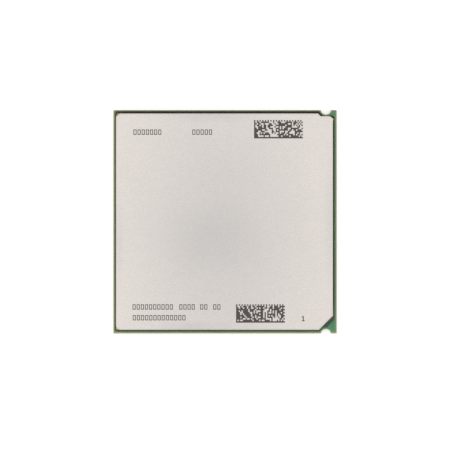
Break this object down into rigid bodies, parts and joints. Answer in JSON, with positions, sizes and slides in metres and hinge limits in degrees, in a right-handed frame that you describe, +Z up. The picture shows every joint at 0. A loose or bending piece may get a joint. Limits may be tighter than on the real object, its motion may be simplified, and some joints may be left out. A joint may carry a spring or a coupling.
{
  "type": "computer processor",
  "caption": "Square land-grid computer processor: a flat nickel-plated metal lid with a cut corner, bonded over the chip on a green laminate with half-round key notches in its edges.",
  "frame": {"origin": "middle of the underside, in the plane that the contact lands lie in", "axes": "+Z up through the lid, +X towards the side with the key notches, +Y from the edge with the lid's cut corner to the opposite edge"},
  "size_m": [0.05, 0.05, 0.0052],
  "materials": {
    "green_laminate": "satin",
    "gold_plate": "satin",
    "underfill_epoxy": "satin",
    "silicon": "polished",
    "thermal_compound": "matt",
    "black_adhesive": "matt",
    "nickel_plate": "satin",
    "capacitor_ceramic": "matt"
  },
  "bodies": {
    "root": {"substrate": "green_laminate", "contact_lands": "gold_plate", "underfill": "underfill_epoxy", "die": "silicon", "thermal_interface": "thermal_compound", "lid_seal": "black_adhesive", "lid": "nickel_plate", "capacitor_01": "capacitor_ceramic", "capacitor_02": "capacitor_ceramic", "capacitor_03": "capacitor_ceramic", "capacitor_04": "capacitor_ceramic", "capacitor_05": "capacitor_ceramic", "capacitor_06": "capacitor_ceramic", "capacitor_07": "capacitor_ceramic", "capacitor_08": "capacitor_ceramic", "capacitor_09": "capacitor_ceramic", "capacitor_10": "capacitor_ceramic", "capacitor_11": "capacitor_ceramic", "capacitor_12": "capacitor_ceramic", "capacitor_13": "capacitor_ceramic", "capacitor_14": "capacitor_ceramic", "capacitor_15": "capacitor_ceramic", "capacitor_16": "capacitor_ceramic", "capacitor_17": "capacitor_ceramic", "capacitor_18": "capacitor_ceramic", "capacitor_19": "capacitor_ceramic", "capacitor_20": "capacitor_ceramic", "capacitor_21": "capacitor_ceramic", "capacitor_22": "capacitor_ceramic", "capacitor_23": "capacitor_ceramic", "capacitor_24": "capacitor_ceramic", "capacitor_25": "capacitor_ceramic", "capacitor_26": "capacitor_ceramic", "capacitor_27": "capacitor_ceramic", "capacitor_28": "capacitor_ceramic", "capacitor_29": "capacitor_ceramic", "capacitor_30": "capacitor_ceramic", "capacitor_31": "capacitor_ceramic", "capacitor_32": "capacitor_ceramic", "capacitor_33": "capacitor_ceramic", "capacitor_34": "capacitor_ceramic", "capacitor_35": "capacitor_ceramic", "capacitor_36": "capacitor_ceramic", "capacitor_37": "capacitor_ceramic", "capacitor_38": "capacitor_ceramic", "capacitor_39": "capacitor_ceramic", "capacitor_40": "capacitor_ceramic", "capacitor_41": "capacitor_ceramic", "capacitor_42": "capacitor_ceramic"}
  },
  "joints": []
}
